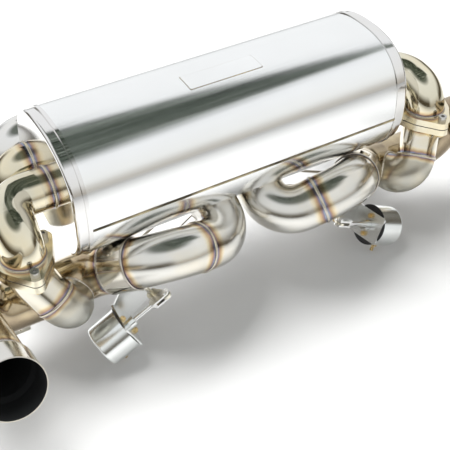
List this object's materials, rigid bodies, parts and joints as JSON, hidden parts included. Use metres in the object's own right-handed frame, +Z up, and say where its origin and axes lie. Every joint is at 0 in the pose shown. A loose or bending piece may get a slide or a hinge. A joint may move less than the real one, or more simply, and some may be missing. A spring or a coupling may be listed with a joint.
{
  "type": "racing exhaust muffler",
  "caption": "Oval through-mounted racing exhaust muffler with twin inlet pipes, flanged quiet branches, bypass butterfly valves with actuators, and outlets at both ends.",
  "frame": {"origin": "outer face of the rear hanger bracket, midway between its two bolt holes", "axes": "+X along the muffler to its right end, +Y rearwards out of the hanger, +Z up; the two sides mirror each other about X = 0"},
  "size_m": [0.9832, 0.516, 0.3841],
  "materials": {
    "polished_steel": "mirror polished",
    "tube_steel": "polished",
    "satin_steel": "satin",
    "flange_steel": "machined",
    "plate_steel": "polished",
    "bracket_steel": "satin",
    "inner_steel": "mill",
    "packing": "matt",
    "gasket": "matt",
    "zinc_steel": "zinc plated",
    "brass_nut": "plated",
    "can_aluminium": "satin",
    "screw_steel": "satin"
  },
  "bodies": {
    "muffler": {"actuator_bracket_left": "bracket_steel", "actuator_bracket_right": "bracket_steel", "actuator_can_left": "can_aluminium", "actuator_can_right": "can_aluminium", "actuator_cover_left": "can_aluminium", "actuator_cover_right": "can_aluminium", "baffle_left": "inner_steel", "baffle_right": "inner_steel", "bracket_screws": "brass_nut", "branch_elbow_left": "satin_steel", "branch_elbow_right": "satin_steel", "bypass_elbow_left": "tube_steel", "bypass_elbow_right": "tube_steel", "bypass_pipe_left": "tube_steel", "bypass_pipe_right": "tube_steel", "core_tube_left": "inner_steel", "core_tube_right": "inner_steel", "down_pipe_left": "tube_steel", "down_pipe_right": "tube_steel", "end_cap_left": "polished_steel", "end_cap_right": "polished_steel", "flange_gasket_left": "gasket", "flange_gasket_right": "gasket", "flange_lower_left": "flange_steel", "flange_lower_right": "flange_steel", "flange_nuts": "brass_nut", "flange_screws": "screw_steel", "flange_upper_left": "flange_steel", "flange_upper_right": "flange_steel", "front_elbow_left": "tube_steel", "front_elbow_right": "tube_steel", "hanger_bracket": "bracket_steel", "hose_nipples": "brass_nut", "inlet_pipe_left": "tube_steel", "inlet_pipe_right": "tube_steel", "muffler_shell": "polished_steel", "nameplate": "plate_steel", "rear_elbow_left": "tube_steel", "rear_elbow_right": "tube_steel", "slip_collar_left": "tube_steel", "slip_collar_right": "tube_steel", "support_tabs": "bracket_steel", "tail_pipe_left": "tube_steel", "tail_pipe_right": "tube_steel", "transfer_tube_left": "inner_steel", "transfer_tube_right": "inner_steel", "valve_body_left": "satin_steel", "valve_body_right": "satin_steel", "wool_wrap_left": "packing", "wool_wrap_right": "packing"},
    "left_flap": {"flap_plate_left": "inner_steel", "flap_shaft_left": "inner_steel", "valve_lever_left": "zinc_steel", "lever_nut_left": "brass_nut"},
    "left_rod": {"actuator_rod_left": "zinc_steel"},
    "right_flap": {"flap_plate_right": "inner_steel", "flap_shaft_right": "inner_steel", "valve_lever_right": "zinc_steel", "lever_nut_right": "brass_nut"},
    "right_rod": {"actuator_rod_right": "zinc_steel"}
  },
  "joints": [
    {"name": "left_flap_hinge", "type": "hinge", "parent": "muffler", "child": "left_flap", "pos_m": [-0.21298, -0.22781, -0.12316], "axis": [0.4711, -0.1417, -0.8706], "range_deg": [0, 75]},
    {"name": "left_rod_slide", "type": "slide", "parent": "muffler", "child": "left_rod", "axis": [-0.8773, 0.027, -0.4792], "range_m": [0, 0.03069]},
    {"name": "right_flap_hinge", "type": "hinge", "parent": "muffler", "child": "right_flap", "pos_m": [0.21298, -0.22781, -0.12316], "axis": [0.4711, 0.1417, 0.8706], "range_deg": [0, 75]},
    {"name": "right_rod_slide", "type": "slide", "parent": "muffler", "child": "right_rod", "axis": [0.8773, 0.027, -0.4792], "range_m": [0, 0.03069]}
  ],
  "couplings": [
    {"joint": "left_flap_hinge", "follows": "left_rod_slide", "rad_per_m": 42.64},
    {"joint": "right_flap_hinge", "follows": "right_rod_slide", "rad_per_m": 42.64}
  ]
}
